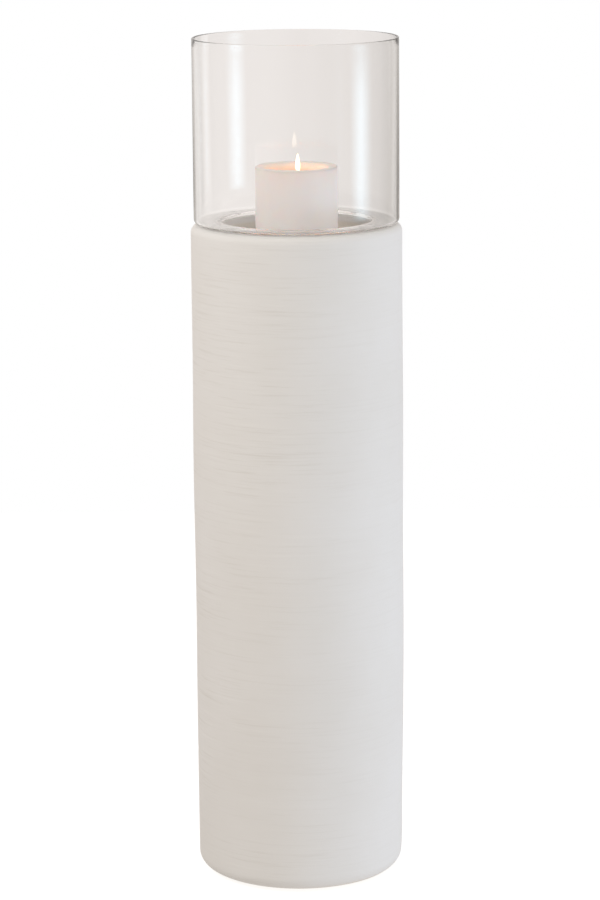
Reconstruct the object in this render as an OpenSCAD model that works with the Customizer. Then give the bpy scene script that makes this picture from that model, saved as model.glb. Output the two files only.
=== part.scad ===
// Hurricane candle lantern: a tall hollow ceramic column carries a clear glass cylinder,
// whose stepped-down cup hangs in the column's mouth and holds a burning pillar candle.
// The origin is on the floor, on the lantern's axis. +Z is up. Sizes are in millimetres.

/* [Column] */
// Outside diameter of the ceramic column
column_d = 206; // [204:1:230]
// Height of the column's top above the floor
column_top = 650; // [400:10:900]
// Thickness of the thrown wall
column_wall = 9; // [8:1:12]
// Radius of the shoulder at the column's top edge
shoulder_r = 8; // [6:1:10]
// Radius of the bottom edge
foot_edge_r = 13; // [10:1:15]
// Depth of the collar that hangs round the mouth
collar_h = 30; // [20:1:36]

/* [Glass] */
// Outside diameter of the glass cylinder
glass_d = 200; // [198:1:204]
// Height of the glass cylinder above the column's top
glass_h = 180; // [150:5:220]
// Thickness of the glass wall
glass_wall = 3; // [2:0.5:3.5]
// Inside diameter of the cup that holds the candle
cup_d = 146; // [140:1:150]
// Inside depth of the cup, below the shoulder
cup_depth = 48; // [40:1:70]

/* [Candle] */
// Diameter of the pillar candle
candle_d = 80; // [76:2:100]
// Height of the pillar candle
candle_h = 100; // [80:5:150]
// Radius of the well that the flame has burnt into the top
well_r = 28; // [20:1:30]
// Depth of the melted wax below the candle's rim
pool_drop = 8; // [5:0.5:10]

/* [Hidden] */

$fn = 96;
PADS = 4;
OVERRUN = 1;               // how far a cutting shape runs past the face it opens

// Felt pads under the foot ring
pad_d = 20;
pad_t = 2;
pad_edge_r = 0.6;

// Column
column_r = column_d / 2;
column_floor = 12;         // thickness of the closed base
deck_t = 10;               // thickness of the ring at the top
inner_r = 8;               // radius of the corners inside the hollow
foot_ring_w = 24;          // width of the ring that the column stands on
recess_h = 4;              // depth of the underside inside that ring
recess_r = 3;              // radius of the recess's corner
vent_r = 6;                // firing vent through the base
lip_r = 3;                 // rounding of the mouth's upper edge
foot_ring_outer = column_r - foot_edge_r;
foot_ring_inner = foot_ring_outer - foot_ring_w;
pad_circle_r = (foot_ring_outer + foot_ring_inner) / 2;

// Clear bumpers between the column's top and the glass
bumper_d = 8;
bumper_t = 0.6;
bumper_edge_r = 0.3;

// Glass
glass_r = glass_d / 2;
glass_top = column_top + glass_h;
shoulder_t = 2.8;          // thickness of the glass shoulder
corner_r = 5;              // outside radius where the wall turns into the shoulder
neck_r = 2;                // radius where the shoulder turns down into the cup
neck_fillet_r = 1.5;       // the same turn, on the underside
cup_corner_r = 9;          // outside radius of the cup's bottom edge
cup_floor_t = 4;
shoulder_z = column_top + bumper_t;
shoulder_top = shoulder_z + shoulder_t;
cup_r = cup_d / 2;
cup_outer_r = cup_r + glass_wall;
cup_floor_z = shoulder_top - cup_depth;

// Mouth of the column, just wide enough for the cup to drop in
mouth_gap = 2;
collar_t = 9;
mouth_r = cup_outer_r + mouth_gap;

// The bumpers stand in the middle of the flat ring that the column's top and the glass share
rest_inner_r = mouth_r + lip_r;
rest_outer_r = min(column_r - shoulder_r, glass_r - corner_r);
bumper_circle_r = (rest_inner_r + rest_outer_r) / 2;

// Candle
candle_r = candle_d / 2;
candle_z = cup_floor_z;
candle_top = candle_z + candle_h;
candle_foot_r = 1.5;       // radius of the candle's bottom edge
candle_rim_r = 1;          // radius of the candle's top outer edge
well_lip_r = 7;            // rounding where the top turns down into the well
well_corner_r = 3;         // radius at the bottom of the well
pool_depth = 5;
pool_top = candle_top - pool_drop;
well_floor = pool_top - pool_depth;

// Wick and the metal tab that holds it
wick_r = 1.2;
wick_bend_r = 5;           // the burnt end curls over at this radius
wick_bend_angle = 55;
wick_rise = 2;             // straight length that stands out of the melted wax
soot_bead_r = 1.5;
tab_r = 10;
tab_t = 0.5;
tab_neck_r = 2.2;
tab_neck_h = 5;

CERAMIC = [0.91, 0.89, 0.86];
GLASS = [0.92, 0.90, 0.89, 0.35];
SILICONE = [0.90, 0.91, 0.91, 0.6];
FELT = [0.78, 0.76, 0.73];
WAX = [0.93, 0.89, 0.86];
MELTED_WAX = [0.98, 0.86, 0.74];
CHAR = [0.16, 0.13, 0.12];
TIN = [0.72, 0.72, 0.70];

// A rectangle between two corners, each of whose corners is rounded by its own radius
module soft_rect(low, high, bl = 0, br = 0, tr = 0, tl = 0) {
    polygon([
        [low.x + bl, low.y], [high.x - br, low.y],
        [high.x, low.y + br], [high.x, high.y - tr],
        [high.x - tr, high.y], [low.x + tl, high.y],
        [low.x, high.y - tl], [low.x, low.y + bl]
    ]);
    if (bl > 0) translate([low.x + bl, low.y + bl]) circle(bl);
    if (br > 0) translate([high.x - br, low.y + br]) circle(br);
    if (tr > 0) translate([high.x - tr, high.y - tr]) circle(tr);
    if (tl > 0) translate([low.x + tl, high.y - tl]) circle(tl);
}

// The space above a hole of radius hole_r whose upper edge is rounded over by edge_r
module flared_mouth(hole_r, edge_r, top) {
    difference() {
        translate([0, top - edge_r]) square([hole_r + edge_r, edge_r + OVERRUN]);
        translate([hole_r + edge_r, top - edge_r]) circle(edge_r);
    }
}

// Places its child at each of the evenly spaced stations on a circle
module at_station(index, count, circle_r, z) {
    rotate([0, 0, 360 / count * (index - 0.5)]) translate([circle_r, 0, z]) children();
}

module column_section() {
    difference() {
        soft_rect([0, pad_t], [column_r, column_top], br = foot_edge_r, tr = shoulder_r);
        soft_rect([0, pad_t + column_floor], [column_r - column_wall, column_top - deck_t],
                  br = inner_r, tr = inner_r);
        translate([0, column_top - deck_t - OVERRUN])
            square([mouth_r + collar_t / 2, deck_t + 2 * OVERRUN]);
        soft_rect([0, pad_t - OVERRUN], [foot_ring_inner, pad_t + recess_h], tr = recess_r);
        square([vent_r, column_floor + 2 * pad_t]);
    }
    soft_rect([mouth_r, column_top - collar_h], [mouth_r + collar_t, column_top],
              bl = collar_t / 3, br = collar_t / 3, tl = lip_r);
}

module column() {
    color(CERAMIC) rotate_extrude() column_section();
}

module felt_pad(index) {
    color(FELT) at_station(index, PADS, pad_circle_r, 0)
        rotate_extrude() soft_rect([0, 0], [pad_d / 2, pad_t], br = pad_edge_r);
}

module glass_bumper(index) {
    color(SILICONE) at_station(index, PADS, bumper_circle_r, column_top)
        rotate_extrude() soft_rect([0, 0], [bumper_d / 2, bumper_t], tr = bumper_edge_r);
}

module glass_section() {
    difference() {
        union() {
            soft_rect([0, shoulder_z], [glass_r, glass_top - glass_wall / 2], br = corner_r);
            soft_rect([0, cup_floor_z - cup_floor_t], [cup_outer_r, shoulder_top], br = cup_corner_r);
            cup_neck_fillet();
        }
        soft_rect([0, shoulder_top], [glass_r - glass_wall, glass_top], br = corner_r - glass_wall);
        soft_rect([0, cup_floor_z], [cup_r, shoulder_top + OVERRUN], br = cup_corner_r - glass_wall);
        flared_mouth(cup_r, neck_r, shoulder_top);
    }
    // The rim is melted round
    translate([glass_r - glass_wall / 2, glass_top - glass_wall / 2]) circle(glass_wall / 2);
}

// Rounds the inside corner between the shoulder's underside and the cup
module cup_neck_fillet() {
    difference() {
        translate([cup_r, shoulder_z - neck_fillet_r])
            square([glass_wall + neck_fillet_r, neck_fillet_r + OVERRUN]);
        translate([cup_outer_r + neck_fillet_r, shoulder_z - neck_fillet_r]) circle(neck_fillet_r);
    }
}

module glass_hurricane() {
    color(GLASS) rotate_extrude() glass_section();
}

// The hollow that the flame has burnt, from its floor up past the candle's top
module burn_well_section() {
    soft_rect([0, well_floor], [well_r, candle_top + OVERRUN], br = well_corner_r);
    flared_mouth(well_r, well_lip_r, candle_top);
}

module tab_section() {
    soft_rect([0, candle_z], [tab_r, candle_z + tab_t]);
    soft_rect([0, candle_z], [tab_neck_r, candle_z + tab_neck_h]);
}

module candle_wax() {
    color(WAX) rotate_extrude() difference() {
        soft_rect([0, candle_z], [candle_r, candle_top], br = candle_foot_r, tr = candle_rim_r);
        burn_well_section();
        tab_section();
        translate([0, candle_z]) square([wick_r, candle_h]);
    }
}

module melt_pool() {
    color(MELTED_WAX) rotate_extrude() intersection() {
        burn_well_section();
        translate([wick_r, well_floor]) square([candle_r, pool_depth]);
    }
}

module wick() {
    straight_top = pool_top + wick_rise;
    color(CHAR) {
        translate([0, 0, candle_z + tab_t])
            cylinder(h = straight_top - candle_z - tab_t, r = wick_r);
        // The charred end curls over towards +X and carries a bead of soot
        translate([wick_bend_r, 0, straight_top]) rotate([90, 0, 0]) mirror([1, 0, 0]) {
            rotate_extrude(angle = wick_bend_angle) translate([wick_bend_r, 0]) circle(wick_r);
            rotate([0, 0, wick_bend_angle]) translate([wick_bend_r, 0, 0]) sphere(soot_bead_r);
        }
    }
}

module wick_tab() {
    color(TIN) rotate_extrude() difference() {
        tab_section();
        translate([0, candle_z + tab_t]) square([wick_r, tab_neck_h]);
    }
}

column();
for (i = [1 : PADS]) felt_pad(i);
for (i = [1 : PADS]) glass_bumper(i);
glass_hurricane();
candle_wax();
melt_pool();
wick();
wick_tab();
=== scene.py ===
"""The looks of a hurricane candle lantern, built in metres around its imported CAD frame.

A thrown ceramic column carries a clear glass cylinder, whose sunken cup holds a burning pillar candle.
"""
import math

import bpy
from mathutils import Matrix, Vector, noise


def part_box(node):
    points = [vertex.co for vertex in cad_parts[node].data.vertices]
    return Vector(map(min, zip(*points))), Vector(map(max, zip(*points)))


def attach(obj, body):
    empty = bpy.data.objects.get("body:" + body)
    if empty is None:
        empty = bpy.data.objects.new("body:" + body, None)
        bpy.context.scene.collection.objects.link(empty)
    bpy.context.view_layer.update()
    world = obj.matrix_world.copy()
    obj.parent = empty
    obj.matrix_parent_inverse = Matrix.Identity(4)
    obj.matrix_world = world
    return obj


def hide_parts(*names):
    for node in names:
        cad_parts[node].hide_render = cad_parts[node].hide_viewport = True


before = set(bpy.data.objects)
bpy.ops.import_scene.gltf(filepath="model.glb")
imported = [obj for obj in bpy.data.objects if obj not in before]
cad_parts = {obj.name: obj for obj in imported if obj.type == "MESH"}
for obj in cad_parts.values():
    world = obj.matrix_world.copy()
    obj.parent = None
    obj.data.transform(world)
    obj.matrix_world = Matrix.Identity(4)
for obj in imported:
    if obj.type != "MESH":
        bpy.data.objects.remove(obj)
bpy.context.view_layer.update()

MM = 0.001

# Sizes that the frame gives
COLUMN_LOW, COLUMN_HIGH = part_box("column")
GLASS_LOW, GLASS_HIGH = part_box("glass_hurricane")
WAX_LOW, WAX_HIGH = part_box("candle_wax")
POOL_LOW, POOL_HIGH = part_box("melt_pool")
WICK_LOW, WICK_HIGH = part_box("wick")

# Column: the sizes that its box doesn't show
COLUMN_R = COLUMN_HIGH[0]
COLUMN_WALL = 9 * MM
COLUMN_FLOOR = 12 * MM
SHOULDER_R = 8 * MM
FOOT_EDGE_R = 13 * MM
FOOT_RING_W = 24 * MM
RECESS_H = 4 * MM
VENT_R = 6 * MM
DECK_T = 10 * MM
COLLAR_H = 30 * MM
COLLAR_T = 9 * MM
MOUTH_R = 78 * MM
# The colour on the column's inside and underneath, warmer and darker than its glaze
INNER_TONE = (0.84, 0.79, 0.71)

# Glass
GLASS_R = GLASS_HIGH[0]
GLASS_WALL = 3 * MM
RIM_WALL = 1.8 * MM
GLASS_CORNER_R = 5 * MM
SHOULDER_Z = COLUMN_HIGH[2] + 0.6 * MM
SHOULDER_T = 2.8 * MM
NECK_R = 2 * MM
CUP_R = 73 * MM
CUP_FLOOR_T = 4 * MM
GLASS_SWIRL = 0.03

# Candle
CANDLE_R = WAX_HIGH[0]
WELL_R = 28 * MM
WELL_LIP_R = 7 * MM
WELL_CORNER_R = 3 * MM
WICK_R = 1.2 * MM
WICK_BEND_R = 5 * MM
WICK_BEND = math.radians(55)
FLAME_H = 19.5 * MM
FLAME_R = 3.3 * MM

FLAME_SIDE = WICK_BEND_R * 0.3
FLAME_GLOW = (0.6, 0.34, 0.17)
# Depth down the candle, from its rim at 0 to 40 mm above its foot at 1, and how strongly the wax's painted
# glow of the flame's light shines there
PAINTED_WAX_GLOW = ((0.0, 0.02), (0.035, 0.11), (0.15, 0.15), (0.5, 0.18), (1.0, 0.185))
STRANDS = 3
STRAND_R = 0.62 * MM
STRAND_ORBIT = 0.55 * MM
STRAND_TWIST = 0.62

# The photographer's place
CAMERA_DISTANCE = 3.174
CAMERA_SIDE = 1.5 * MM
CAMERA_HEIGHT = 1.081
CAMERA_PITCH = math.radians(11.69)
CAMERA_ROLL = math.radians(-0.46)
CAMERA_LENS = 131.4

# The studio
ROOM_LEFT = (0.514, 0.475, 0.429)
ROOM_RIGHT = (0.816, 0.775, 0.742)
BACKDROP_SPREAD = 2.6
CLOTH = (0.87, 0.84, 0.82)
# Distances in metres to the side of the cloth's middle, and how much of a colour the cloth has there
PLAIN_CLOTH = ((-0.50, 1), (-0.38, 0), (0.38, 0), (0.50, 1))
GREY_BAND = ((0.195, 0), (0.25, 1), (0.34, 1), (0.42, 0))
GLASS_BOUNCES = 96

# Tufts of wool in a metre of felt
FELT_GRAIN = 900

# Felt pads under the foot ring, and as many bumpers under the glass
SUPPORTS = 4

SEGMENTS = 256
COLUMN_SEGMENTS = 200
RING_STEP = 2.2 * MM
TURNING_MARK_Z = 121 * MM
ARC_STEP = math.radians(10)


# ---------------------------------------------------------------- outlines and meshes

def arc_points(before, corner, after, radius):
    """The points of the arc that rounds a corner of an outline."""
    p = Vector(corner)
    a = (Vector(before) - p).normalized()
    b = (Vector(after) - p).normalized()
    half = a.angle(b) / 2
    centre = p + (a + b).normalized() * (radius / math.sin(half))
    start = p + a * (radius / math.tan(half)) - centre
    sweep = math.pi - 2 * half
    turn = 1 if a.x * b.y - a.y * b.x < 0 else -1
    count = max(2, math.ceil(sweep / ARC_STEP))
    points = []
    for i in range(count + 1):
        t = turn * sweep * i / count
        c, s = math.cos(t), math.sin(t)
        points.append((centre.x + start.x * c - start.y * s, centre.y + start.x * s + start.y * c))
    return points


def outline(corners, closed, step=1.0):
    """Points round an outline of (r, z, radius) corners, no further apart than step on its straight runs.

    step is a length, or a function of two neighbouring points that gives one.
    """
    points = []
    count = len(corners)
    for i, (r, z, radius) in enumerate(corners):
        ends = not closed and i in (0, count - 1)
        if ends or radius == 0:
            points.append((r, z))
            continue
        before = corners[i - 1][:2]
        after = corners[(i + 1) % count][:2]
        points += arc_points(before, (r, z), after, radius)
    return spaced(points, closed, step)


def spaced(points, closed, step):
    """The same outline with extra points wherever two neighbours are further apart than step allows."""
    out = []
    last = len(points) if closed else len(points) - 1
    for i in range(last):
        a = Vector(points[i])
        b = Vector(points[(i + 1) % len(points)])
        room = step(a, b) if callable(step) else step
        cuts = max(1, math.ceil((b - a).length / room))
        out += [tuple(a.lerp(b, k / cuts)) for k in range(cuts)]
    if not closed:
        out.append(points[-1])
    return out


def revolve(name, points, closed, segments=SEGMENTS, shift=None):
    """A solid turned about the Z axis. shift(angle, r, z) may give each point a new (r, z)."""
    verts, rings, faces = [], [], []
    for r, z in points:
        on_axis = r < 1e-7
        ring = []
        for k in range(1 if on_axis else segments):
            angle = 2 * math.pi * k / segments
            new_r, new_z = shift(angle, r, z) if shift else (r, z)
            ring.append(len(verts))
            verts.append((new_r * math.cos(angle), new_r * math.sin(angle), new_z))
        rings.append(ring)
    pairs = list(zip(rings, rings[1:] + rings[:1])) if closed else list(zip(rings, rings[1:]))
    for low, high in pairs:
        for k in range(segments):
            j = (k + 1) % segments
            quad = [low[k % len(low)], low[j % len(low)], high[j % len(high)], high[k % len(high)]]
            faces.append([v for i, v in enumerate(quad) if v != quad[i - 1]])
    return solid(name, verts, faces)


def solid(name, verts, faces):
    """A smooth-shaded object whose faces all point outwards."""
    mesh = bpy.data.meshes.new(name)
    mesh.from_pydata(verts, [], faces)
    mesh.validate()
    if signed_volume(mesh) < 0:
        mesh.flip_normals()
    mesh.shade_smooth()
    piece = bpy.data.objects.new(name, mesh)
    bpy.context.scene.collection.objects.link(piece)
    return piece


def signed_volume(mesh):
    """Positive when the faces of a closed mesh point outwards."""
    mesh.calc_loop_triangles()
    total = 0.0
    for t in mesh.loop_triangles:
        a, b, c = (mesh.vertices[i].co for i in t.vertices)
        total += a.dot(b.cross(c))
    return total


def tube(path, radii, sides):
    """Vertices and faces of a tube swept along a path, with a flat cap on each end."""
    verts, faces = [], []
    for i, p in enumerate(path):
        ahead = path[min(i + 1, len(path) - 1)] - path[max(i - 1, 0)]
        across = ahead.cross(Vector((0, 1, 0))).normalized()
        up = across.cross(ahead).normalized()
        for k in range(sides):
            t = 2 * math.pi * k / sides
            verts.append(p + (across * math.cos(t) + up * math.sin(t)) * radii[i])
    for i in range(len(path) - 1):
        for k in range(sides):
            j = (k + 1) % sides
            a, b = i * sides, (i + 1) * sides
            faces.append([a + k, a + j, b + j, b + k])
    faces.append(list(range(sides))[::-1])
    faces.append([len(verts) - sides + k for k in range(sides)])
    return verts, faces


def smoothstep(value, low, high):
    """0 below low, 1 above high and a smooth rise between."""
    t = min(1.0, max(0.0, (value - low) / (high - low)))
    return t * t * (3 - 2 * t)


# ---------------------------------------------------------------- node helpers

def new_material(name):
    """An empty node material, its tree and its output node."""
    material = bpy.data.materials.new(name)
    material.use_nodes = True
    tree = material.node_tree
    tree.nodes.clear()
    output = tree.nodes.new("ShaderNodeOutputMaterial")
    return material, tree, output


def feed(tree, socket, value):
    """Links an input to another node's output, or gives it a value. A colour gets an alpha of 1."""
    if isinstance(value, bpy.types.NodeSocket):
        tree.links.new(value, socket)
    elif socket.type == "RGBA":
        socket.default_value = (*value[:3], 1)
    else:
        socket.default_value = value


def node(tree, kind, settings=None, **inputs):
    """A new node. settings are its properties; inputs are values or sockets, with _ for a space."""
    made = tree.nodes.new(kind)
    for key, value in (settings or {}).items():
        setattr(made, key, value)
    for key, value in inputs.items():
        feed(tree, made.inputs[key.replace("_", " ")], value)
    return made


def position(tree, space="Object"):
    """The X, Y and Z of a point, as a node's outputs."""
    coords = tree.nodes.new("ShaderNodeTexCoord")
    return node(tree, "ShaderNodeSeparateXYZ", Vector=coords.outputs[space]).outputs


def progress(tree, value, start, end, settings=None):
    """0 where a value is at start and 1 where it is at end, which may be the lower of the two."""
    made = node(tree, "ShaderNodeMapRange", settings, Value=value, From_Min=start, From_Max=end)
    return made.outputs["Result"]


def eased(tree, value, start, end):
    """progress with a smooth start and end."""
    return progress(tree, value, start, end, {"interpolation_type": "SMOOTHSTEP"})


def computed(tree, operation, a, b):
    """The result of a Math node."""
    made = node(tree, "ShaderNodeMath", {"operation": operation})
    feed(tree, made.inputs[0], a)
    feed(tree, made.inputs[1], b)
    return made.outputs["Value"]


def blended(tree, factor, first, second):
    """The first shader where factor is 0, and the second where it is 1."""
    mix = node(tree, "ShaderNodeMixShader", Fac=factor)
    tree.links.new(first, mix.inputs[1])
    tree.links.new(second, mix.inputs[2])
    return mix.outputs["Shader"]


def clear_in_shadow(tree, shader, colour):
    """The shader, which lets light through as colour to whatever it would shade."""
    clear = node(tree, "ShaderNodeBsdfTransparent", Color=colour)
    path = tree.nodes.new("ShaderNodeLightPath")
    return blended(tree, path.outputs["Is Shadow Ray"], shader, clear.outputs["BSDF"])


def object_space(tree, scale=(1, 1, 1)):
    """Object coordinates in metres, stretched by scale."""
    coords = tree.nodes.new("ShaderNodeTexCoord")
    mapping = node(tree, "ShaderNodeMapping", Vector=coords.outputs["Object"], Scale=scale)
    return mapping.outputs["Vector"]


def axis_distance(tree):
    """The distance from the Z axis, in metres."""
    made = node(tree, "ShaderNodeVectorMath", {"operation": "LENGTH"}, Vector=object_space(tree, (1, 1, 0)))
    return made.outputs["Value"]


def noise_value(tree, vector, scale, detail=3.0, roughness=0.55):
    """A noise texture's value, at scale features a metre."""
    made = node(tree, "ShaderNodeTexNoise", Vector=vector, Scale=scale, Detail=detail, Roughness=roughness)
    return made.outputs["Fac"]


def ramp(tree, value, stops):
    """A colour ramp of (position, colour) stops."""
    made = node(tree, "ShaderNodeValToRGB", Fac=value)
    elements = made.color_ramp.elements
    while len(elements) > 1:
        elements.remove(elements[-1])
    for i, (position, colour) in enumerate(stops):
        element = elements[0] if i == 0 else elements.new(position)
        element.position = position
        element.color = (*colour, 1)
    return made.outputs["Color"]


def between(tree, value, low, high):
    """A 0 to 1 value mapped on to the range from low to high."""
    return node(tree, "ShaderNodeMapRange", Value=value, To_Min=low, To_Max=high).outputs["Result"]


def mixed(tree, factor, a, b, blend="MIX"):
    """Two colours mixed."""
    made = tree.nodes.new("ShaderNodeMix")
    made.data_type = "RGBA"
    made.blend_type = blend
    for index, value in ((0, factor), (6, a), (7, b)):
        feed(tree, made.inputs[index], value)
    return made.outputs[2]


def bump(tree, height, strength, distance, normal=None):
    """A bump from a height value; distance is in metres."""
    made = node(tree, "ShaderNodeBump", Height=height, Strength=strength, Distance=distance)
    if normal is not None:
        tree.links.new(normal, made.inputs["Normal"])
    return made.outputs["Normal"]


def paint(piece, material):
    """Gives every slot of a piece the same material."""
    if not piece.material_slots:
        piece.data.materials.append(material)
    for slot in piece.material_slots:
        slot.material = material


# ---------------------------------------------------------------- materials

def ceramic_material():
    """Matt white earthenware glaze over throwing rings, with a fine dry grain."""
    material, tree, output = new_material("matt_ceramic")
    streaks = noise_value(tree, object_space(tree, (16, 16, 420)), 1.0, 4.0, 0.6)
    patches = noise_value(tree, object_space(tree, (7, 7, 11)), 1.0, 2.0)
    clouds = noise_value(tree, object_space(tree), 9.0, 3.0)
    grain = noise_value(tree, object_space(tree), 1400.0, 2.0, 0.6)
    pits = noise_value(tree, object_space(tree), 420.0, 2.0, 0.5)
    plain = (0.868, 0.857, 0.848)
    colour = ramp(tree, streaks, [
        (0.30, (0.808, 0.792, 0.774)), (0.46, plain), (0.56, plain), (0.72, (0.895, 0.885, 0.875)),
    ])
    place = position(tree)
    smooth_side = progress(tree, place["X"], -20 * MM, 60 * MM)
    shown = ramp(tree, patches, [(0.35, (0.2, 0.2, 0.2)), (0.65, (1, 1, 1))])
    shown = mixed(tree, smooth_side, shown, (0.25, 0.25, 0.25))
    colour = mixed(tree, shown, plain, colour)
    inside = progress(tree, axis_distance(tree), COLUMN_R - 6 * MM, COLUMN_R - 8 * MM)
    sunk = progress(tree, place["Z"], COLUMN_HIGH[2] - 6 * MM, COLUMN_HIGH[2] - 9 * MM)
    # Warmer and darker colour on the column's inside and underneath, below the top of its mouth
    colour = mixed(tree, mixed(tree, 1.0, inside, sunk, "MULTIPLY"), colour, INNER_TONE)
    cloud_colour = ramp(tree, clouds, [(0.35, (0.975, 0.97, 0.96)), (0.65, (1, 1, 1))])
    colour = mixed(tree, 1.0, colour, cloud_colour, "MULTIPLY")
    roughness = between(tree, grain, 0.62, 0.86)
    normal = bump(tree, streaks, 0.5, 0.0002)
    normal = bump(tree, grain, 0.5, 0.00006, normal)
    normal = bump(tree, pits, 0.4, 0.00012, normal)
    shader = node(tree, "ShaderNodeBsdfPrincipled", Base_Color=colour, Roughness=roughness, Normal=normal)
    shader.inputs["Specular IOR Level"].default_value = 0.35
    tree.links.new(shader.outputs["BSDF"], output.inputs["Surface"])
    return material


def glass_material():
    """Clear glass with the faint warm grey of its iron, which long paths through the wall deepen."""
    material, tree, output = new_material("clear_glass")
    swirl = noise_value(tree, object_space(tree, (1, 1, 0.35)), 22.0, 1.0)
    drawn = progress(tree, position(tree)["Z"], SHOULDER_Z + 10 * MM, SHOULDER_Z + 40 * MM)
    normal = bump(tree, swirl, between(tree, drawn, 0.0, GLASS_SWIRL), 0.0004)
    glass = node(tree, "ShaderNodeBsdfPrincipled", Base_Color=(0.99, 0.988, 0.985), Roughness=0.0,
                 IOR=1.5, Normal=normal)
    glass.inputs["Transmission Weight"].default_value = 1.0
    surface = clear_in_shadow(tree, glass.outputs["BSDF"], (1, 0.99, 0.98))
    tree.links.new(surface, output.inputs["Surface"])
    depth = node(tree, "ShaderNodeVolumeAbsorption", Color=(0.60, 0.55, 0.50), Density=3.0)
    tree.links.new(depth.outputs["Volume"], output.inputs["Volume"])
    return material


def near_flame(tree):
    """1 inside the candle's well and 0 outside its lip."""
    return eased(tree, axis_distance(tree), WELL_R + WELL_LIP_R, WELL_R - WELL_LIP_R)


def wax_material():
    """Off-white paraffin that light soaks into, with a faint frosting and a painted glow of the flame's
    light: a warm tint near the well, and an emission that is brighter to the +X side and stronger to diffuse
    rays.
    """
    material, tree, output = new_material("paraffin_wax")
    frost = noise_value(tree, object_space(tree), 120.0, 4.0, 0.6)
    mottle = noise_value(tree, object_space(tree, (1, 1, 0.6)), 28.0, 2.0)
    colour = ramp(tree, mottle, [(0.3, (0.86, 0.80, 0.775)), (0.7, (0.90, 0.855, 0.83))])
    # Painted light: near the well the wax's colour is tinted towards the orange of the flame's light, and so
    # is its painted glow
    flame_glow_mask = near_flame(tree)
    colour = mixed(tree, flame_glow_mask, colour, (0.82, 0.68, 0.54))
    roughness = between(tree, frost, 0.34, 0.56)
    dents = noise_value(tree, object_space(tree), 60.0, 2.0)
    normal = bump(tree, frost, 0.25, 0.00008)
    normal = bump(tree, dents, 0.3, 0.0003, normal)
    shader = node(tree, "ShaderNodeBsdfPrincipled", Base_Color=colour, Roughness=roughness, Normal=normal)
    shader.inputs["Subsurface Weight"].default_value = 0.85
    shader.inputs["Subsurface Radius"].default_value = (1.0, 0.62, 0.45)
    shader.inputs["Subsurface Scale"].default_value = 0.012
    shader.inputs["IOR"].default_value = 1.44
    # Painted light: the wax glows by emission, faint at the rim and stronger down the side, brighter to the
    # +X side, and stronger again to diffuse rays so that it lights the well around it
    place = position(tree)
    depth = progress(tree, place["Z"], WAX_HIGH[2] - 1 * MM, WAX_LOW[2] + 40 * MM)
    painted_side_light = between(tree, progress(tree, place["X"], -CANDLE_R, CANDLE_R), 0.85, 1.6)
    painted_glow_by_depth = ramp(tree, depth, [(at, (strength,) * 3) for at, strength in PAINTED_WAX_GLOW])
    seen = mixed(tree, 1.0, painted_glow_by_depth, painted_side_light, "MULTIPLY")
    path = tree.nodes.new("ShaderNodeLightPath")
    glow = node(tree, "ShaderNodeMapRange", Value=path.outputs["Diffuse Depth"], To_Min=seen, To_Max=depth)
    tree.links.new(glow.outputs["Result"], shader.inputs["Emission Strength"])
    tree.links.new(mixed(tree, flame_glow_mask, (1.0, 0.95, 0.94), FLAME_GLOW), shader.inputs["Emission Color"])
    material.cycles.emission_sampling = "NONE"
    tree.links.new(shader.outputs["BSDF"], output.inputs["Surface"])
    return material


def melted_wax_material():
    """Clear hot wax over the white floor of the well, tinted orange and given a faint glow as painted light
    from the flame.
    """
    material, tree, output = new_material("melted_wax")
    ripples = noise_value(tree, object_space(tree), 90.0, 1.0)
    # Painted light: the pool's orange colour and its faint emission stand in for the flame's light falling on
    # it
    colour = ramp(tree, ripples, [(0.3, (0.85, 0.68, 0.53)), (0.7, (0.88, 0.73, 0.60))])
    shader = node(tree, "ShaderNodeBsdfPrincipled", Base_Color=colour, Roughness=0.06, IOR=1.44,
                  Normal=bump(tree, ripples, 0.1, 0.0002))
    shader.inputs["Subsurface Weight"].default_value = 0.9
    shader.inputs["Subsurface Radius"].default_value = (1.0, 0.6, 0.4)
    shader.inputs["Subsurface Scale"].default_value = 0.01
    shader.inputs["Emission Color"].default_value = (*FLAME_GLOW, 1)
    shader.inputs["Emission Strength"].default_value = 0.14
    tree.links.new(shader.outputs["BSDF"], output.inputs["Surface"])
    return material


def wick_material():
    """White cotton that is charred where it stands out of the wax, with a glowing tip."""
    material, tree, output = new_material("charred_cotton")
    fibres = noise_value(tree, object_space(tree, (1, 1, 0.3)), 2500.0, 2.0)
    burnt = progress(tree, position(tree)["Z"], POOL_HIGH[2] - 1 * MM, WICK_HIGH[2])
    colour = ramp(tree, burnt, [
        (0.0, (0.80, 0.75, 0.66)), (0.25, (0.05, 0.04, 0.035)), (1.0, (0.02, 0.018, 0.016)),
    ])
    glow = ramp(tree, burnt, [(0.82, (0, 0, 0)), (1.0, (1.0, 0.28, 0.05))])
    shader = node(tree, "ShaderNodeBsdfPrincipled", Base_Color=colour, Roughness=0.9,
                  Normal=bump(tree, fibres, 0.6, 0.0001))
    tree.links.new(glow, shader.inputs["Emission Color"])
    shader.inputs["Emission Strength"].default_value = 1.5
    tree.links.new(shader.outputs["BSDF"], output.inputs["Surface"])
    return material


def felt_material():
    """Pressed off-white wool felt."""
    material, tree, output = new_material("wool_felt")
    fibres = noise_value(tree, object_space(tree), 1800.0, 4.0, 0.7)
    clumps = noise_value(tree, object_space(tree), 300.0, 2.0)
    colour = ramp(tree, clumps, [(0.3, (0.56, 0.53, 0.49)), (0.7, (0.66, 0.635, 0.60))])
    normal = bump(tree, fibres, 0.9, 0.0003)
    shader = node(tree, "ShaderNodeBsdfPrincipled", Base_Color=colour, Roughness=0.95, Normal=normal)
    shader.inputs["Sheen Weight"].default_value = 0.4
    tree.links.new(shader.outputs["BSDF"], output.inputs["Surface"])
    return material


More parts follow.
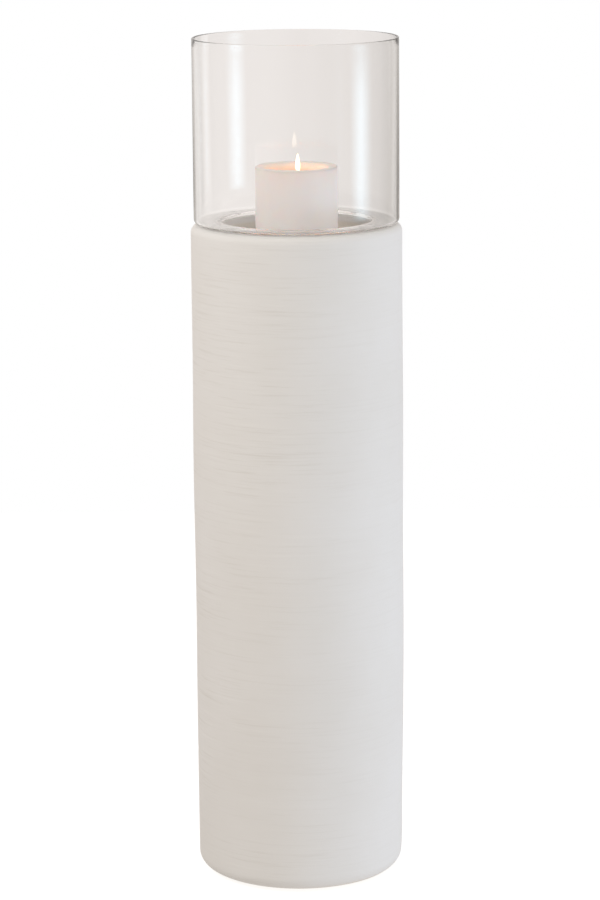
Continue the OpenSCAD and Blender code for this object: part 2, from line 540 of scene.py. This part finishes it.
def silicone_material():
    """Clear, slightly hazy silicone."""
    material, tree, output = new_material("clear_silicone")
    haze = noise_value(tree, object_space(tree), 700.0, 2.0)
    shader = node(tree, "ShaderNodeBsdfPrincipled", Base_Color=(0.93, 0.93, 0.93), IOR=1.41,
                  Roughness=between(tree, haze, 0.18, 0.32))
    shader.inputs["Transmission Weight"].default_value = 0.9
    surface = clear_in_shadow(tree, shader.outputs["BSDF"], (0.95, 0.95, 0.95))
    tree.links.new(surface, output.inputs["Surface"])
    return material


def tinplate_material():
    """Thin rolled tinplate with fine brush lines and dulled patches."""
    material, tree, output = new_material("tinplate")
    lines = noise_value(tree, object_space(tree, (1, 30, 1)), 120.0, 3.0)
    dull = noise_value(tree, object_space(tree), 160.0, 3.0)
    colour = ramp(tree, dull, [(0.3, (0.52, 0.52, 0.50)), (0.7, (0.70, 0.70, 0.685))])
    roughness = between(tree, lines, 0.28, 0.5)
    shader = node(tree, "ShaderNodeBsdfPrincipled", Base_Color=colour, Roughness=roughness,
                  Normal=bump(tree, lines, 0.3, 0.00005))
    shader.inputs["Metallic"].default_value = 1.0
    tree.links.new(shader.outputs["BSDF"], output.inputs["Surface"])
    return material


def flame_material(name, colour, strength, opacity):
    """Glowing gas, fainter and more orange at its foot, that hides what is behind it by its opacity."""
    material, tree, output = new_material(name)
    height = progress(tree, position(tree)["Z"], POOL_HIGH[2], POOL_HIGH[2] + FLAME_H)
    body = ramp(tree, height, [(0.05, (0.25,) * 3), (0.4, (1.0,) * 3)])
    seen = mixed(tree, 1.0, body, (opacity,) * 3, "MULTIPLY")
    hot = ramp(tree, height, [(0.1, (1.0, 0.62, 0.36)), (0.45, colour)])
    light = node(tree, "ShaderNodeEmission", Color=hot, Strength=strength)
    clear = tree.nodes.new("ShaderNodeBsdfTransparent")
    surface = blended(tree, seen, clear.outputs["BSDF"], light.outputs["Emission"])
    tree.links.new(surface, output.inputs["Surface"])
    return material


# ---------------------------------------------------------------- pieces

def throwing_relief(angle, z):
    """How far a throwing ring or the hand's unsteadiness moves the column's wall, in metres."""
    c, s = math.cos(angle), math.sin(angle)
    sway = noise.noise(Vector((c * 0.8, s * 0.8, z * 6)))
    rings = noise.noise(Vector((c * 0.6, s * 0.6 + 7, z * 70)))
    fine = noise.noise(Vector((c * 1.6, s * 1.6 + 19, z * 190)))
    patches = smoothstep(noise.noise(Vector((c * 1.1 + 31, s * 1.1, z * 7))), -0.3, 0.5)
    mark = math.exp(-((z - TURNING_MARK_Z) / (3 * MM)) ** 2) * smoothstep(-c, -0.6, 0.5)
    return sway * 1.0 * MM + (rings * 0.04 + fine * 0.08) * (0.2 + patches) * MM - mark * 0.2 * MM


def column_shift(angle, r, z):
    """Relief on the outer wall that dies away round its shoulder and its bottom edge.

    The potter has trimmed the foot a little closer on its +X side.
    """
    outside = smoothstep(r, COLUMN_R - FOOT_EDGE_R, COLUMN_R - FOOT_EDGE_R * 0.4)
    trim = (1.6 * smoothstep(z, 160 * MM, 0) + 1.4 * smoothstep(z, 35 * MM, 0)) * MM * max(0, math.cos(angle))
    return r + outside * (throwing_relief(angle, z) - trim), z


def column_step(a, b):
    """Close points where the throwing rings show, and sparse ones inside and underneath."""
    return RING_STEP if min(a.x, b.x) > COLUMN_R - 1 * MM else 20 * MM


def make_column():
    """The hollow column, with its floor, foot ring, firing vent, mouth and collar."""
    foot, top = COLUMN_LOW[2], COLUMN_HIGH[2]
    ring_outer = COLUMN_R - FOOT_EDGE_R
    ring_inner = ring_outer - FOOT_RING_W
    recess = foot + RECESS_H
    floor = foot + COLUMN_FLOOR
    deck = top - DECK_T
    inner = COLUMN_R - COLUMN_WALL
    wall = outline([
        (ring_inner, recess, 3 * MM), (ring_inner, foot, 1.2 * MM),
        (COLUMN_R, foot, FOOT_EDGE_R), (COLUMN_R, top, SHOULDER_R),
        (MOUTH_R, top, 3 * MM), (MOUTH_R, top - COLLAR_H, 3 * MM),
        (MOUTH_R + COLLAR_T, top - COLLAR_H, 3 * MM), (MOUTH_R + COLLAR_T, deck, 2 * MM),
        (inner, deck, 8 * MM), (inner, floor, 8 * MM),
        (VENT_R, floor, 1 * MM), (VENT_R, recess, 1 * MM),
    ], closed=True, step=column_step)
    piece = revolve("column_thrown", wall, closed=True, segments=COLUMN_SEGMENTS, shift=column_shift)
    paint(piece, ceramic_material())
    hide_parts("column")
    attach(piece, "base")


def make_glass():
    """The glass cylinder, whose wall thins to its melted rim, with its shoulder and its sunken cup."""
    inner = GLASS_R - GLASS_WALL
    cup_outer = CUP_R + GLASS_WALL
    shoulder_top = SHOULDER_Z + SHOULDER_T
    bottom, top = GLASS_LOW[2], GLASS_HIGH[2]
    points = outline([
        (0, bottom, 0), (cup_outer, bottom, 9 * MM),
        (cup_outer, SHOULDER_Z, 1.5 * MM), (GLASS_R, SHOULDER_Z, GLASS_CORNER_R),
        (GLASS_R, top, RIM_WALL * 0.49), (GLASS_R - RIM_WALL, top, RIM_WALL * 0.49),
        (inner, shoulder_top, GLASS_CORNER_R - GLASS_WALL), (CUP_R, shoulder_top, NECK_R),
        (CUP_R, bottom + CUP_FLOOR_T, 6 * MM), (0, bottom + CUP_FLOOR_T, 0),
    ], closed=False, step=8 * MM)
    piece = revolve("glass_cylinder", points, closed=False)
    paint(piece, glass_material())
    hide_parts("glass_hurricane")
    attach(piece, "glass")


def wax_shift(angle, r, z):
    """Softened, slightly uneven wax: the lip of the well sags and the side is not quite round."""
    c, s = math.cos(angle), math.sin(angle)
    near_top = smoothstep(z, WAX_HIGH[2] - 14 * MM, WAX_HIGH[2])
    lip = near_top * smoothstep(CANDLE_R - r, 1 * MM, 6 * MM) * smoothstep(r, 16 * MM, 26 * MM)
    side = noise.noise(Vector((c, s, z * 16))) * 0.2 * MM
    sag = noise.noise(Vector((c * 1.3, s * 1.3 + 5, 2))) * 0.5 * MM
    return r + side * smoothstep(r, 10 * MM, 20 * MM), z + (sag - 0.3 * MM) * lip


def make_candle():
    """The pillar of wax, with the well that the flame has burnt."""
    base, top = WAX_LOW[2], WAX_HIGH[2]
    well_floor = POOL_LOW[2]
    tab_r, tab_t = 10 * MM, 0.5 * MM
    neck_r, neck_h = 2.2 * MM, 5 * MM
    points = outline([
        (tab_r, base + tab_t, 0), (tab_r, base, 0.3 * MM),
        (CANDLE_R, base, 1.5 * MM), (CANDLE_R, top, 1 * MM),
        (WELL_R, top, WELL_LIP_R), (WELL_R, well_floor, WELL_CORNER_R),
        (WICK_R, well_floor, 0), (WICK_R, base + neck_h, 0),
        (neck_r, base + neck_h, 0), (neck_r, base + tab_t, 0),
    ], closed=True, step=2.5 * MM)
    piece = revolve("candle_pillar", points, closed=True, segments=192, shift=wax_shift)
    paint(piece, wax_material())
    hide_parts("candle_wax")
    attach(piece, "candle")


def wick_path():
    """Points up the wick and round its curled end."""
    straight_top = POOL_HIGH[2] + 2 * MM
    low = WICK_LOW[2]
    count = 90
    points = [Vector((0, 0, low + (straight_top - low) * i / count)) for i in range(count)]
    for i in range(13):
        t = WICK_BEND * i / 12
        points.append(Vector((WICK_BEND_R * (1 - math.cos(t)), 0, straight_top + WICK_BEND_R * math.sin(t))))
    return points


def make_wick():
    """Three plaited strands."""
    path = wick_path()
    verts, faces = [], []
    last = len(path) - 1
    radii = [STRAND_R * (1 - 0.45 * smoothstep(i, last - 5, last)) for i in range(len(path))]
    for strand in range(STRANDS):
        points = []
        for i, p in enumerate(path):
            ahead = path[min(i + 1, len(path) - 1)] - path[max(i - 1, 0)]
            side = ahead.cross(Vector((0, 1, 0))).normalized()
            t = i * STRAND_TWIST + strand * 2 * math.pi / STRANDS
            points.append(p + side * math.cos(t) * STRAND_ORBIT + Vector((0, math.sin(t) * STRAND_ORBIT, 0)))
        more, shapes = tube(points, radii, 8)
        faces += [[v + len(verts) for v in f] for f in shapes]
        verts += more
    piece = solid("wick_strands", verts, faces)
    paint(piece, wick_material())
    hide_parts("wick")
    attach(piece, "candle")


def make_melt_pool():
    """The pool, which creeps up the wall of the well and up the wick."""
    low, high = POOL_LOW[2], POOL_HIGH[2]
    creep = 0.6 * MM
    edge = POOL_HIGH[0]
    points = [(WICK_R, low)]
    points += outline([
        (WICK_R, low, 0), (edge, low, WELL_CORNER_R), (edge, high, 0),
    ], closed=False, step=2 * MM)[1:]
    points = [p for p in points if p[1] < high]
    for i in range(24):
        t = i / 23
        r = edge + (WICK_R - edge) * t
        rise = math.exp(-(edge - r) / (1.5 * MM)) + math.exp(-(r - WICK_R) / (1.0 * MM))
        points.append((r, high + creep * rise))
    piece = revolve("melted_pool", points, closed=True, segments=128)
    paint(piece, melted_wax_material())
    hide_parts("melt_pool")
    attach(piece, "candle")


def flame_shell(width, height, base):
    """The outline of a candle flame: a rounded foot, its widest low down, and a drawn-out tip."""
    points = []
    count = 32
    for i in range(count + 1):
        t = i / count
        r = width * 1.72 * t ** 0.42 * (1 - t) ** 0.85
        points.append((r if 0 < i < count else 0.0, base + height * t))
    return points


def make_flame():
    """A white-hot core in a thin amber mantle, standing over the wick's curled end."""
    base = POOL_HIGH[2] + 1 * MM
    mantle = revolve("flame_mantle", flame_shell(FLAME_R, FLAME_H, base), closed=False, segments=48)
    core = revolve("flame_core", flame_shell(FLAME_R * 0.84, FLAME_H * 0.93, base + 0.6 * MM), closed=False,
                   segments=48)
    paint(mantle, flame_material("flame_mantle", (1.0, 0.66, 0.32), 2.0, 0.42))
    paint(core, flame_material("flame_core", (1.0, 0.95, 0.84), 4.5, 0.8))
    for piece in (mantle, core):
        for v in piece.data.vertices:
            v.co.x += FLAME_SIDE
        piece.visible_shadow = False
        piece.visible_diffuse = False
        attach(piece, "candle")
    return core


def make_felt_pads():
    """Felt discs with a soft, slightly fuzzy edge."""
    material = felt_material()
    for index in range(1, SUPPORTS + 1):
        name = f"felt_pad_{index}"
        low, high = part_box(name)
        radius = (high[0] - low[0]) / 2
        centre = Vector(((low[0] + high[0]) / 2, (low[1] + high[1]) / 2, 0))
        points = outline([
            (0, low[2], 0), (radius, low[2], 0.6 * MM), (radius, high[2], 0.2 * MM), (0, high[2], 0),
        ], closed=False, step=0.7 * MM)

        def fuzz(angle, r, z, index=index):
            x, y = r * math.cos(angle), r * math.sin(angle)
            spot = Vector((x * FELT_GRAIN + index * 11, y * FELT_GRAIN, z * FELT_GRAIN))
            wool = noise.noise(spot)
            edge = smoothstep(r, radius * 0.6, radius)
            return r + wool * 0.12 * MM * edge, z

        piece = revolve(f"felt_disc_{index}", points, closed=False, segments=96, shift=fuzz)
        for v in piece.data.vertices:
            v.co += centre
        paint(piece, material)
        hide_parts(name)
        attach(piece, "base")


def dress_cad_nodes():
    """The small parts whose CAD shape is already right."""
    silicone = silicone_material()
    for index in range(1, SUPPORTS + 1):
        paint(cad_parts[f"glass_bumper_{index}"], silicone)
    paint(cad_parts["wick_tab"], tinplate_material())


# ---------------------------------------------------------------- studio

def make_floor():
    """A plain pale floor."""
    size = 1.6
    mesh = bpy.data.meshes.new("floor")
    corners = [(-size, -size, 0), (size, -size, 0), (size, size, 0), (-size, size, 0)]
    mesh.from_pydata(corners, [], [(0, 1, 2, 3)])
    floor = bpy.data.objects.new("floor", mesh)
    bpy.context.scene.collection.objects.link(floor)
    material, tree, output = new_material("pale_floor")
    shade = node(tree, "ShaderNodeBsdfDiffuse", Color=(0.5, 0.5, 0.5, 1))
    light = node(tree, "ShaderNodeEmission", Color=(1, 1, 1, 1), Strength=0.72)
    both = tree.nodes.new("ShaderNodeAddShader")
    tree.links.new(shade.outputs["BSDF"], both.inputs[0])
    tree.links.new(light.outputs["Emission"], both.inputs[1])
    tree.links.new(both.outputs["Shader"], output.inputs["Surface"])
    paint(floor, material)
    floor.visible_diffuse = False
    floor.visible_transmission = False
    floor.visible_glossy = False


def make_world():
    """White to the camera, an even room to what it lights, and what the glass mirrors and lets through.

    The mirrored room darkens to the right, and low behind the lantern, which draws the lines of the
    glass's base. Rays that have only passed through glass see plain cloth in front and at the sides.
    """
    world = bpy.data.worlds.new("studio")
    bpy.context.scene.world = world
    world.use_nodes = True
    tree = world.node_tree
    tree.nodes.clear()
    place = position(tree, "Generated")
    across = progress(tree, place["X"], -1.0, 1.0)
    mirrored = ramp(tree, across, [
        (0.0, (1.0, 0.96, 0.93)), (0.3, (0.90, 0.86, 0.835)), (0.5, (0.84, 0.80, 0.775)),
        (0.62, (0.80, 0.765, 0.74)), (0.75, (0.50, 0.47, 0.44)), (1.0, (0.28, 0.26, 0.24)),
    ])
    mirrored = mixed(tree, eased(tree, place["Z"], 0.15, 0.6), mirrored, (1.35, 1.30, 1.26))
    down = eased(tree, place["Z"], -0.05, -0.135)
    back = eased(tree, place["Y"], 0.86, 0.95)
    mirrored = mixed(tree, computed(tree, "MULTIPLY", down, back), mirrored, (0.36, 0.335, 0.31))
    path = tree.nodes.new("ShaderNodeLightPath")
    front = eased(tree, place["Y"], 0.3, 0.0)
    straight = computed(tree, "LESS_THAN", path.outputs["Glossy Depth"], 0.5)
    mirrored = mixed(tree, computed(tree, "MULTIPLY", front, straight), mirrored, CLOTH)
    room_light = mixed(tree, across, ROOM_LEFT, ROOM_RIGHT)
    room = mixed(tree, path.outputs["Diffuse Depth"], mirrored, room_light)
    seen = mixed(tree, path.outputs["Is Camera Ray"], room, (1, 1, 1))
    studio = node(tree, "ShaderNodeBackground", Color=seen, Strength=1.0)
    output = tree.nodes.new("ShaderNodeOutputWorld")
    tree.links.new(studio.outputs["Background"], output.inputs["Surface"])
    world.cycles.sampling_method = "NONE"


def hide_from_mirrors(lamp):
    """The lamp lights surfaces and isn't seen, in the glass or anywhere else."""
    lamp.visible_camera = False
    lamp.visible_glossy = False
    lamp.visible_transmission = False


def make_softbox(name, distance, azimuth, height, power, colour):
    """A soft rectangular lamp that isn't seen. Azimuth 0 is the camera's side and 90 is the right."""
    turn = math.radians(azimuth)
    place = Vector((distance * math.sin(turn), -distance * math.cos(turn), height))
    target = Vector((0, 0, min(height, 0.6)))
    lamp = bpy.data.lights.new(name, "AREA")
    lamp.shape = "RECTANGLE"
    lamp.size = 0.8
    lamp.size_y = 0.5
    lamp.energy = power
    lamp.color = colour
    holder = bpy.data.objects.new(name, lamp)
    bpy.context.scene.collection.objects.link(holder)
    aim = target - place
    holder.matrix_world = Matrix.Translation(place) @ aim.to_track_quat("-Z", "Y").to_matrix().to_4x4()
    hide_from_mirrors(holder)


def upright_screen(name, place, width, height):
    """An upright rectangle that faces the Z axis, with its own X across and its own Y up."""
    x, y = width / 2, height / 2
    mesh = bpy.data.meshes.new(name)
    mesh.from_pydata([(-x, -y, 0), (x, -y, 0), (x, y, 0), (-x, y, 0)], [], [(0, 1, 2, 3)])
    screen = bpy.data.objects.new(name, mesh)
    bpy.context.scene.collection.objects.link(screen)
    aim = Vector((0, 0, place[2])) - Vector(place)
    screen.matrix_world = Matrix.Translation(place) @ aim.to_track_quat("Z", "Y").to_matrix().to_4x4()
    screen.visible_camera = False
    screen.visible_diffuse = False
    screen.visible_shadow = False
    return screen


def along(tree, axis, half):
    """0 at one edge of a screen and 1 at the other, along its own X or Y."""
    return progress(tree, position(tree)[axis], -half, half)


def make_window():
    """A glowing pane to the right, whose mirror images are the two upright stripes in the glass."""
    width, height = 0.86, 0.31
    pane = upright_screen("window", (1.507, -0.362, 0.575), width, height)
    material, tree, output = new_material("window_glow")
    wide = ramp(tree, along(tree, "X", width / 2), [
        (0.0, (0, 0, 0)), (0.15, (0.2, 0.2, 0.2)), (0.5, (1, 1, 1)), (0.62, (0.95, 0.95, 0.95)),
        (0.85, (0.35, 0.35, 0.35)), (1.0, (0, 0, 0)),
    ])
    tall = ramp(tree, along(tree, "Y", height / 2), [
        (0.0, (0, 0, 0)), (0.16, (1, 1, 1)), (0.64, (1, 1, 1)), (1.0, (0, 0, 0)),
    ])
    light = node(tree, "ShaderNodeEmission", Color=(0.66, 0.87, 1.0), Strength=3.7)
    clear = tree.nodes.new("ShaderNodeBsdfTransparent")
    shape = mixed(tree, 1.0, wide, tall, "MULTIPLY")
    surface = blended(tree, shape, clear.outputs["BSDF"], light.outputs["Emission"])
    tree.links.new(surface, output.inputs["Surface"])
    paint(pane, material)


def make_backdrop():
    """The cloth behind the lantern, a little darker to the right, as it shows through the glass.

    It is plain at both sides, and between them and the middle a grey band darkens each edge of the glass.
    """
    width, height = 1.8, 2.2
    cloth = upright_screen("backdrop", (0, 0.6, 0.9), width, height)
    material, tree, output = new_material("backdrop_cloth")
    middle = between(tree, along(tree, "X", width / 2), 0.5 - BACKDROP_SPREAD, 0.5 + BACKDROP_SPREAD)
    colour = ramp(tree, middle, [
        (0.0, (0.85, 0.813, 0.79)), (0.2, (0.905, 0.865, 0.842)), (0.4, (0.885, 0.846, 0.823)),
        (0.5, (0.828, 0.79, 0.768)), (0.7, (0.84, 0.803, 0.781)), (0.85, (0.744, 0.71, 0.69)),
        (0.98, (0.645, 0.61, 0.58)),
    ])
    across, up = along(tree, "X", width / 2), along(tree, "Y", height / 2)
    outer = ramp(tree, across, [(0.5 + x / width, (amount,) * 3) for x, amount in PLAIN_CLOTH])
    colour = mixed(tree, outer, colour, CLOTH)
    level = ramp(tree, up, [(0.25, (0, 0, 0)), (0.35, (1, 1, 1)), (0.455, (1, 1, 1)), (0.58, (0, 0, 0))])
    for side, low_colour, high_colour in ((-1, (0.46, 0.435, 0.40), (0.62, 0.59, 0.56)),
                                          (1, (0.14, 0.13, 0.12), (0.55, 0.52, 0.49))):
        stops = sorted((0.5 + side * x / width, (amount,) * 3) for x, amount in GREY_BAND)
        beside = ramp(tree, across, stops)
        shade = ramp(tree, up, [(0.345, low_colour), (0.455, high_colour)])
        colour = mixed(tree, mixed(tree, 1.0, beside, level, "MULTIPLY"), colour, shade)
    light = node(tree, "ShaderNodeEmission", Color=colour, Strength=1.0)
    tree.links.new(light.outputs["Emission"], output.inputs["Surface"])
    paint(cloth, material)
    cloth.visible_glossy = False


def make_lights(flame):
    """Two high soft boxes on the left and in front, a low one on the right, and the flame's own lamp."""
    make_softbox("box_left", 1.6, -70, 1.8, 11.7, (1.0, 0.952, 0.932))
    make_softbox("box_front", 1.6, -10, 1.8, 2.0, (0.823, 1.0, 0.941))
    make_softbox("box_right", 1.6, 70, 0.25, 5.1, (0.465, 0.712, 1.0))
    lamp = bpy.data.lights.new("flame_light", "POINT")
    lamp.energy = 0.013
    lamp.color = (1.0, 0.38, 0.08)
    lamp.shadow_soft_size = 2 * MM
    holder = bpy.data.objects.new("flame_light", lamp)
    holder.location = (FLAME_SIDE, 0, POOL_HIGH[2] + 10 * MM)
    bpy.context.scene.collection.objects.link(holder)
    holder.parent = flame
    hide_from_mirrors(holder)


def make_camera():
    """The photographer's camera: level with the lantern's top, looking a little down."""
    data = bpy.data.cameras.new("camera")
    data.sensor_width = 36
    data.lens = CAMERA_LENS
    data.clip_end = 100
    camera = bpy.data.objects.new("camera", data)
    bpy.context.scene.collection.objects.link(camera)
    tilt = Matrix.Rotation(math.pi / 2 - CAMERA_PITCH, 4, "X")
    roll = Matrix.Rotation(CAMERA_ROLL, 4, "Z")
    camera.matrix_world = Matrix.Translation((CAMERA_SIDE, -CAMERA_DISTANCE, CAMERA_HEIGHT)) @ tilt @ roll
    bpy.context.scene.camera = camera


def set_render_look():
    """Plain colours, and enough bounces for the glass."""
    scene = bpy.context.scene
    scene.view_settings.view_transform = "Standard"
    scene.view_settings.look = "None"
    scene.cycles.max_bounces = GLASS_BOUNCES
    scene.cycles.diffuse_bounces = 10
    scene.cycles.glossy_bounces = GLASS_BOUNCES
    scene.cycles.transmission_bounces = GLASS_BOUNCES
    scene.cycles.transparent_max_bounces = GLASS_BOUNCES


make_column()
make_glass()
make_candle()
make_wick()
make_melt_pool()
flame_core = make_flame()
make_felt_pads()
dress_cad_nodes()
make_floor()
make_world()
make_window()
make_backdrop()
make_lights(flame_core)
make_camera()
set_render_look()
